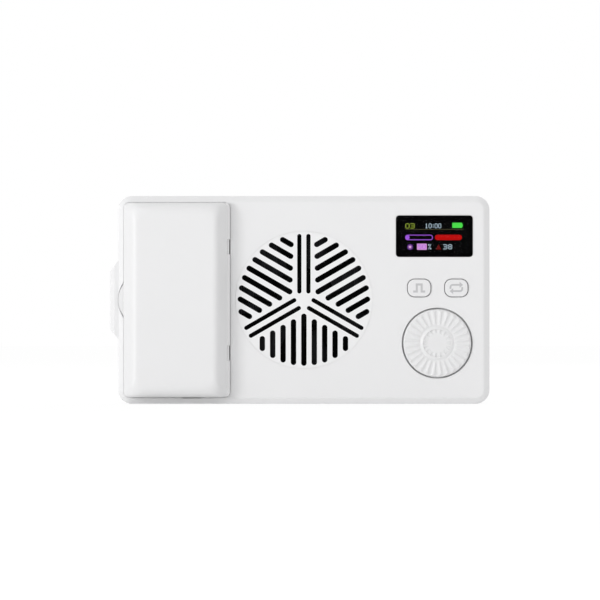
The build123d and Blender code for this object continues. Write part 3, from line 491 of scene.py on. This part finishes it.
# The fan is black plastic; its colour is taken darker still as painted shade seen through the grille slots
FAN_BLACK_SHADED = moulded_plastic("fan_black_painted_shade", colour=(0.0015, 0.0015, 0.0015), worn=(0.003, 0.003, 0.003),
                            roughness=(0.5, 0.65), grain=INNER_GRAIN, depth=INNER_GRAIN_DEPTH, gloss=0.05)
INNER_BLACK = moulded_plastic("inner_black", colour=(0.02, 0.02, 0.02), worn=(0.03, 0.03, 0.03),
                              roughness=(0.4, 0.55), grain=INNER_GRAIN, depth=INNER_GRAIN_DEPTH)
PRINT_GREY = moulded_plastic("print_grey", colour=(0.47, 0.47, 0.48), worn=(0.53, 0.53, 0.54),
                             roughness=(0.5, 0.6), grain=PRINT_GRAIN, depth=PRINT_GRAIN_DEPTH)
MASK_BLACK = moulded_plastic("mask_black", colour=(0.0006, 0.0006, 0.0008), worn=(0.0015, 0.0015, 0.0015),
                             roughness=(0.4, 0.5), grain=PRINT_GRAIN, depth=MASK_GRAIN_DEPTH, gloss=0.0)
BOARD_WHITE = moulded_plastic("lamp_board_white", colour=(0.78, 0.78, 0.76), worn=(0.74, 0.74, 0.72),
                              roughness=(0.3, 0.42), grain=LAMP_BOARD_GRAIN, depth=LAMP_BOARD_DEPTH)
EMITTER_RESIN = moulded_plastic("emitter_resin", colour=(0.82, 0.56, 0.1), worn=(0.72, 0.42, 0.06),
                                roughness=(0.12, 0.25), grain=RESIN_GRAIN, depth=RESIN_DEPTH)
STEEL = metal("plated_steel", colour=(0.62, 0.62, 0.64), dull=(0.5, 0.5, 0.52), roughness=(0.22, 0.38),
              stretch=TURNED)
NICKEL = metal("bright_nickel", colour=(0.74, 0.72, 0.68), dull=(0.62, 0.6, 0.57), roughness=(0.14, 0.28),
               stretch=PRESSED)
BRASS = metal("turned_brass", colour=(0.72, 0.53, 0.24), dull=(0.58, 0.42, 0.18), roughness=(0.2, 0.34),
              stretch=TURNED)
COPPER = metal("wound_copper", colour=(0.72, 0.36, 0.2), dull=(0.45, 0.2, 0.11), roughness=(0.25, 0.4),
               stretch=WOUND, depth=WINDING_DEPTH)
# Painted shade: the heat sink is coloured black so the fins behind the grille slots show dark
SINK_BLACK_SHADED = metal("black_sink_painted_shade", colour=(0.02, 0.02, 0.022), dull=(0.035, 0.035, 0.04),
                   roughness=(0.4, 0.55), stretch=EXTRUDED, depth=SINK_DEPTH)
GLOW_LIME = glowing("glow_lime", (0.42, 0.58, 0.06))
GLOW_ICE = glowing("glow_ice", (0.66, 0.86, 1.0))
GLOW_GREEN = glowing("glow_green", (0.1, 1.0, 0.1))
GLOW_VIOLET = glowing("glow_violet", (0.45, 0.13, 0.95))
GLOW_RED = glowing("glow_red", (0.66, 0.006, 0.005))
GLOW_EMBER = glowing("glow_ember", (0.16, 0.008, 0.007))
GLOW_PINK = glowing("glow_pink", (0.95, 0.46, 1.0))
GLOW_OLIVE = glowing("glow_olive", (0.07, 0.065, 0.03))


def window_pane():
    """The clear pane over the screen: a dark tint, a gloss and a trace of finger haze."""
    material, tree, shader = new_material("window_pane", Base_Color=opaque(PANE_TINT), Alpha=0.1,
                                          Specular_IOR_Level=0.06)
    skin = use_group(tree, GRAIN, Grain_per_metre=PANE_GRAIN, Tone_per_metre=PANE_HAZE)
    feed(tree, shader, Roughness=span(tree, skin["Polish"], low=0.04, high=0.16))
    return material


def lens_clear():
    """Clear lens moulding with a honeycomb of small facets that spread the light."""
    material, tree, shader = new_material("lens_clear", Base_Color=opaque(LENS_TINT),
                                          Transmission_Weight=1.0, IOR=1.49)
    facets = add_node(tree, "ShaderNodeTexVoronoi", Vector=object_place(tree), Scale=LENS_FACETS,
                      Randomness=0.15)
    skin = use_group(tree, GRAIN, Grain_per_metre=LENS_GRAIN)
    feed(tree, shader, Roughness=span(tree, skin["Polish"], low=0.02, high=0.07))
    bump(tree, shader, facets.outputs["Distance"], strength=0.35, depth=LENS_FACET_DEPTH)
    return material


def board_green():
    """Green board coating over raised copper tracks."""
    material, tree, shader = new_material("board_green")
    face = add_node(tree, "ShaderNodeMapping", Vector=object_place(tree), Rotation=(math.pi / 2, 0, 0))
    tracks = add_node(tree, "ShaderNodeTexBrick", Vector=face.outputs["Vector"], Scale=BOARD_TRACKS,
                      Mortar_Size=0.05, Color1=opaque(BOARD_GREENS[0]), Color2=opaque(BOARD_GREENS[1]),
                      Mortar=opaque(TRACK_GREEN))
    skin = use_group(tree, GRAIN, Grain_per_metre=BOARD_GRAIN)
    feed(tree, shader, Base_Color=tracks.outputs["Color"],
         Roughness=span(tree, skin["Polish"], low=0.25, high=0.4))
    bump(tree, shader, tracks.outputs["Fac"], strength=0.4, depth=BOARD_TRACK_DEPTH)
    return material


def cell_sleeve():
    """A cell's shrunk sleeve, with bare metal at its two ends."""
    material, tree, shader = new_material("cell_sleeve")
    low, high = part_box("battery_cell_left")
    middle = (low.z + high.z) / 2
    reach = (high.z - low.z) / 2
    skin = use_group(tree, GRAIN, Grain_per_metre=SLEEVE_GRAIN)
    place = add_node(tree, "ShaderNodeSeparateXYZ", Vector=object_place(tree))
    away = calculate(tree, "ABSOLUTE", calculate(tree, "SUBTRACT", place.outputs["Z"], middle))
    bare = calculate(tree, "GREATER_THAN", away, reach - CELL_BARE_END)
    sleeve = blend_colours(tree, skin["Tone"], *SLEEVE_BLUES)
    metal_end = blend_colours(tree, skin["Polish"], *CELL_END_GREYS)
    feed(tree, shader, Base_Color=blend_colours(tree, bare, sleeve, metal_end), Metallic=bare,
         Roughness=span(tree, skin["Polish"], low=0.16, high=0.32))
    bump(tree, shader, skin["Height"], GRAIN_BUMP, SLEEVE_DEPTH)
    return material


NODE_FINISHES = {
    SHELL_WHITE: ("rear_shell", "front_bezel"),
    GRILLE_WHITE_LIT: ("fan_grille",),
    HOOD_WHITE_SHADED: ("battery_cover",),
    KEY_WHITE_SHADED: ("mode_button", "cycle_button", "knob_cap"),
    window_pane(): ("display_window",),
    MASK_BLACK: ("display_module",),
    FAN_BLACK_SHADED: ("fan_frame", "fan_rotor"),
    INNER_BLACK: ("display_frame", "lens_holders", "mode_switch", "cycle_switch", "mode_plunger",
                  "cycle_plunger", "encoder_body", "encoder_plunger"),
    STEEL: ("fan_screws", "board_screws", "led_board_screws", "hinge_pin", "fan_shaft",
            "encoder_shaft", "usb_port"),
    NICKEL: ("series_contact", "terminal_contacts"),
    BRASS: ("fan_bush", "encoder_bush"),
    COPPER: ("fan_stator",),
    SINK_BLACK_SHADED: ("heat_sink",),
    BOARD_WHITE: ("led_board",),
    board_green(): ("control_board",),
    lens_clear(): ("led_lenses",),
    EMITTER_RESIN: ("led_emitters",),
    cell_sleeve(): ("battery_cell_left", "battery_cell_right"),
}
for finish, names in NODE_FINISHES.items():
    for name in names:
        nodes[name].data.materials.clear()
        nodes[name].data.materials.append(finish)


# Case screws
def cross_outline(x, z):
    arm, half = CROSS_ARM, CROSS_HALF
    corners = [(-half, -arm), (half, -arm), (half, -half), (arm, -half), (arm, half), (half, half),
               (half, arm), (-half, arm), (-half, half), (-arm, half), (-arm, -half), (-half, -half)]
    return [(x + across, z + up) for across, up in corners]


def thread_profile(seat_y, end_y):
    """Half of a threaded shank, from under the head to the point."""
    root = SCREW_SHANK_RADIUS - SCREW_THREAD_DEPTH
    rows = []
    for turn in range(int((seat_y - end_y - SCREW_POINT) / SCREW_THREAD_PITCH)):
        y = seat_y - turn * SCREW_THREAD_PITCH
        rows += [(root, y), (SCREW_SHANK_RADIUS, y - SCREW_THREAD_PITCH / 2)]
    return rows + [(root, end_y + SCREW_POINT), (0, end_y)]


def case_screws():
    """Four screws with rounded heads, a cross recess and a threaded shank, in their counterbores."""
    low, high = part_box("case_screws")
    floor_y = high.y - CROSS_DEPTH
    seat_y = high.y - SCREW_HEAD_HEIGHT
    places = [(x, z) for x in (low.x + SCREW_HEAD_RADIUS, high.x - SCREW_HEAD_RADIUS)
              for z in (low.z + SCREW_HEAD_RADIUS, high.z - SCREW_HEAD_RADIUS)]
    for number, (x, z) in enumerate(places, 1):
        name = f"case_screw_{number}"
        outlines = [circle(x, z, SCREW_HEAD_RADIUS, HEAD_STEPS), cross_outline(x, z)]
        crown = plate(name + "_crown", outlines, high.y - CROSS_DEPTH / 2, CROSS_DEPTH, SCREW_HEAD_EDGE)
        head = [(0, floor_y), (SCREW_HEAD_RADIUS, floor_y), (SCREW_HEAD_RADIUS, seat_y)]
        body = lathe(name + "_body", head + thread_profile(seat_y, low.y), x, z)
        screw = joined(name, crown, body)
        dress(screw, "housing", STEEL)
        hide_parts("case_screws")


case_screws()


# Print on the keys
def key_face(node):
    low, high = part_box(node)
    return (low.x + high.x) / 2, (low.z + high.z) / 2, low.y


def key_print(name, loops, face_y, body):
    sign = plate(name, loops, face_y - PRINT_THICKNESS / 2 + PRINT_SINK, PRINT_THICKNESS)
    dress(sign, body, PRINT_GREY)


def mode_sign():
    """The sign on the mode key: one square pulse between two feet."""
    x, z, y = key_face("mode_button")
    half = KEY_SIGN_WIDTH / 2
    pulse = PULSE_WIDTH / 2
    inner = pulse - KEY_STROKE
    low = z - KEY_SIGN_HEIGHT / 2
    high = z + KEY_SIGN_HEIGHT / 2
    foot = low + KEY_STROKE
    roof = high - KEY_STROKE
    outline = [(x - half, foot), (x - pulse, foot), (x - pulse, high), (x + pulse, high),
               (x + pulse, foot), (x + half, foot), (x + half, low), (x + inner, low),
               (x + inner, roof), (x - inner, roof), (x - inner, low), (x - half, low)]
    key_print("mode_sign", [outline], y, "mode_key")


def cycle_sign():
    """The sign on the cycle key: a loop of two strokes, each with an arrow head."""
    x, z, y = key_face("cycle_button")
    half = LOOP_WIDTH / 2
    rise = LOOP_HEIGHT / 2
    bend = rise * LOOP_BEND_SHARE
    tip = half - ARROW_LENGTH
    foot = -LOOP_STROKE / 2
    middle = rise - LOOP_STROKE / 2
    outer = arc(-half + bend, rise - bend, bend, 180, 90)
    inner = arc(-half + bend, rise - bend, bend - LOOP_STROKE, 90, 180)
    arrow = [(tip, rise), (tip, middle + ARROW_HALF_WIDTH), (half, middle),
             (tip, middle - ARROW_HALF_WIDTH), (tip, rise - LOOP_STROKE)]
    stroke = [(-half, foot)] + outer + arrow + inner + [(-half + LOOP_STROKE, foot)]
    loops = [[(x + turn * across, z + turn * up) for across, up in stroke] for turn in (1, -1)]
    key_print("cycle_sign", loops, y, "cycle_key")


mode_sign()
cycle_sign()

# Screen
WINDOW_LOW, WINDOW_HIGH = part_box("display_window")
SCREEN_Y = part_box("display_module")[0].y
SCREEN_WIDTH = WINDOW_HIGH.x - WINDOW_LOW.x
SCREEN_HEIGHT = WINDOW_HIGH.z - WINDOW_LOW.z


def on_screen(across_share, down_share):
    """A point of the screen, from shares of the window counted from its top left corner."""
    return WINDOW_LOW.x + across_share * SCREEN_WIDTH, WINDOW_HIGH.z - down_share * SCREEN_HEIGHT


def sign_box(name):
    """Where a sign is on the screen: its left, right, low and high edges."""
    left_share, right_share, top_share, bottom_share = SCREEN_SHARES[name]
    left, high = on_screen(left_share, top_share)
    right, low = on_screen(right_share, bottom_share)
    return left, right, low, high


def screen_piece(name, loops, glow, lift=0.0):
    piece = plate(name, loops, SCREEN_Y - PRINT_THICKNESS / 2 - lift, PRINT_THICKNESS)
    return dress(piece, "housing", glow)


DOT_ROWS = {
    "0": ("01110", "10001", "10001", "10001", "10001", "10001", "01110"),
    "1": ("00100", "01100", "00100", "00100", "00100", "00100", "01110"),
    "3": ("11110", "00001", "00001", "01110", "00001", "00001", "11110"),
    "5": ("11111", "10000", "11110", "00001", "00001", "10001", "01110"),
    "8": ("01110", "10001", "10001", "01110", "10001", "10001", "01110"),
    ":": ("000", "010", "010", "000", "010", "010", "000"),
    "%": ("11001", "11010", "00010", "00100", "01000", "01011", "10011"),
}


def dot_number(name, signs, glow, lift=0.0):
    """Signs side by side, each of square dots, that fill their box on the screen."""
    left, right, low, high = sign_box(name)
    columns = sum(len(DOT_ROWS[sign][0]) + 1 for sign in signs) - 1
    wide = (right - left) / columns
    tall = (high - low) / len(DOT_ROWS[signs[0]])
    loops = []
    at = left
    for sign in signs:
        for row, dots in enumerate(DOT_ROWS[sign]):
            top = high - row * tall
            for column, lit in enumerate(dots):
                if lit == "1":
                    near = at + column * wide
                    loops.append(bar(near, near + DOT_SHARE * wide, top - DOT_SHARE * tall, top))
        at += (len(DOT_ROWS[sign][0]) + 1) * wide
    screen_piece(name, loops, glow, lift)


def battery_icon():
    left, right, low, high = sign_box("charge")
    nose = CHARGE_NOSE_SHARE * (right - left)
    gap = CHARGE_GAP_SHARE * (high - low)
    screen_piece("charge_case", [bar(left, right - nose, low, high)], GLOW_GREEN)
    screen_piece("charge_nose", [bar(right - nose, right, low + gap, high - gap)], GLOW_GREEN)


def level_bars():
    """Two level bars: the left one a rim with a short fill, the right one full."""
    left, right, low, high = sign_box("left_level")
    radius = (high - low) / 2
    rim = LEVEL_RIM_SHARE * (high - low)
    inner = rounded_bar(left + rim, right - rim, low + rim, high - rim, radius - rim)
    screen_piece("left_level_rim", [rounded_bar(left, right, low, high, radius), inner], GLOW_VIOLET)
    fill = left + LEVEL_FILL_SHARE * (right - left)
    screen_piece("left_level_fill", [rounded_bar(left, fill, low, high, radius)], GLOW_VIOLET, LEVEL_LIFT)
    screen_piece("right_level_fill", [rounded_bar(*sign_box("right_level"), radius)], GLOW_RED)


def sun_icon():
    x, z = on_screen(*SUN_CENTRE_SHARES)
    radius = SUN_RADIUS_SHARE * SCREEN_HEIGHT
    screen_piece("sun_disc", [circle(x, z, radius, DISC_STEPS)], GLOW_PINK)
    for number in range(RAY_COUNT):
        turn = math.tau * number / RAY_COUNT
        along = Vector((math.cos(turn), math.sin(turn)))
        side = Vector((-along.y, along.x)) * RAY_HALF_WIDTH_SHARE * SCREEN_HEIGHT
        near = along * radius * RAY_NEAR_SHARE
        far = along * radius * RAY_FAR_SHARE
        corners = (near - side, far - side, far + side, near + side)
        screen_piece(f"sun_ray_{number}", [[(x + p.x, z + p.y) for p in corners]], GLOW_VIOLET)


def screen_contents():
    dot_number("programme", "03", GLOW_LIME)
    dot_number("clock", "10:00", GLOW_ICE)
    battery_icon()
    screen_piece("rule", [bar(*sign_box("rule"))], GLOW_OLIVE)
    level_bars()
    sun_icon()
    screen_piece("level_box", [bar(*sign_box("level_box"))], GLOW_PINK)
    dot_number("level", "50", GLOW_VIOLET, LEVEL_LIFT)
    dot_number("percent", "%", GLOW_ICE)
    left, right, low, high = sign_box("heat_mark")
    screen_piece("heat_mark", [[(left, low), (right, low), ((left + right) / 2, high)]], GLOW_EMBER)
    dot_number("heat", "38", GLOW_ICE)


def window_outline(inset, corner):
    return rounded_bar(WINDOW_LOW.x + inset, WINDOW_HIGH.x - inset, WINDOW_LOW.z + inset,
                       WINDOW_HIGH.z - inset, corner)


def window_mask():
    """The black border printed on the back of the pane."""
    outlines = [window_outline(PRINT_THICKNESS, WINDOW_CORNER), window_outline(MASK_BORDER, MASK_CORNER)]
    mask = plate("window_mask", outlines, WINDOW_HIGH.y - MASK_DEPTH, PRINT_THICKNESS)
    dress(mask, "housing", MASK_BLACK)


screen_contents()
window_mask()


# Stage, light and camera
def white_to_camera(tree, plain, white, share):
    """Mixes in white where the camera looks straight at a surface or sees it in gloss or glass."""
    path = tree.nodes.new("ShaderNodeLightPath").outputs
    seen = calculate(tree, "MAXIMUM", path["Is Camera Ray"], path["Is Glossy Ray"])
    seen = calculate(tree, "MAXIMUM", seen, path["Is Transmission Ray"])
    mix = add_node(tree, "ShaderNodeMixShader", Fac=calculate(tree, "MULTIPLY", seen, share))
    plug(tree, plain, mix.inputs[1])
    plug(tree, white, mix.inputs[2])
    return mix.outputs["Shader"]


def floor():
    mesh = bpy.data.meshes.new("floor")
    half, z = FLOOR_HALF, -FLOOR_DROP
    corners = [(-half, -half, z), (half, -half, z), (half, half, z), (-half, half, z)]
    mesh.from_pydata(corners, [], [(0, 1, 2, 3)])
    ground = link(bpy.data.objects.new("floor", mesh))
    material, tree, shader = new_material("floor_white", Base_Color=opaque(FLOOR_WHITE),
                                          Roughness=FLOOR_ROUGHNESS)
    glow = add_node(tree, "ShaderNodeEmission", Strength=FLOOR_GLOW)
    surface = white_to_camera(tree, shader.outputs["BSDF"], glow.outputs["Emission"], FLOOR_GLOW_SHARE)
    feed(tree, tree.nodes["Material Output"], Surface=surface)
    mesh.materials.append(material)


def world_light():
    world = bpy.data.worlds.new("studio")
    bpy.context.scene.world = world
    world.use_nodes = True
    tree = world.node_tree
    soft = feed(tree, tree.nodes["Background"], Color=opaque(WHITE), Strength=WORLD_LIGHT)
    white = add_node(tree, "ShaderNodeBackground", Color=opaque(WHITE), Strength=1.0)
    surface = white_to_camera(tree, soft.outputs["Background"], white.outputs["Background"], 1.0)
    feed(tree, tree.nodes["World Output"], Surface=surface)


def softbox(name, place, width, height, power):
    """A soft rectangle of light that faces the middle of the panel."""
    light = bpy.data.lights.new(name, "AREA")
    light.shape = "RECTANGLE"
    light.size = width
    light.size_y = height
    light.energy = power
    lamp = link(bpy.data.objects.new(name, light))
    lamp.location = place
    aim = Vector((0, 0, VIEW_CENTRE_Z)) - Vector(place)
    lamp.rotation_euler = aim.to_track_quat("-Z", "Y").to_euler()


def camera():
    lens = bpy.data.cameras.new("camera")
    lens.sensor_width = SENSOR
    lens.lens = SENSOR * VIEW_DISTANCE / VIEW_WIDTH
    lens.clip_start = VIEW_NEAREST
    eye = link(bpy.data.objects.new("camera", lens))
    eye.location = (VIEW_CENTRE_X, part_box("rear_shell")[0].y - VIEW_DISTANCE, VIEW_CENTRE_Z)
    eye.rotation_euler = (math.pi / 2, 0, 0)
    bpy.context.scene.camera = eye


floor()
world_light()
for name, setting in SOFTBOXES.items():
    softbox(name, **setting)
camera()
bpy.context.scene.view_settings.view_transform = "Standard"
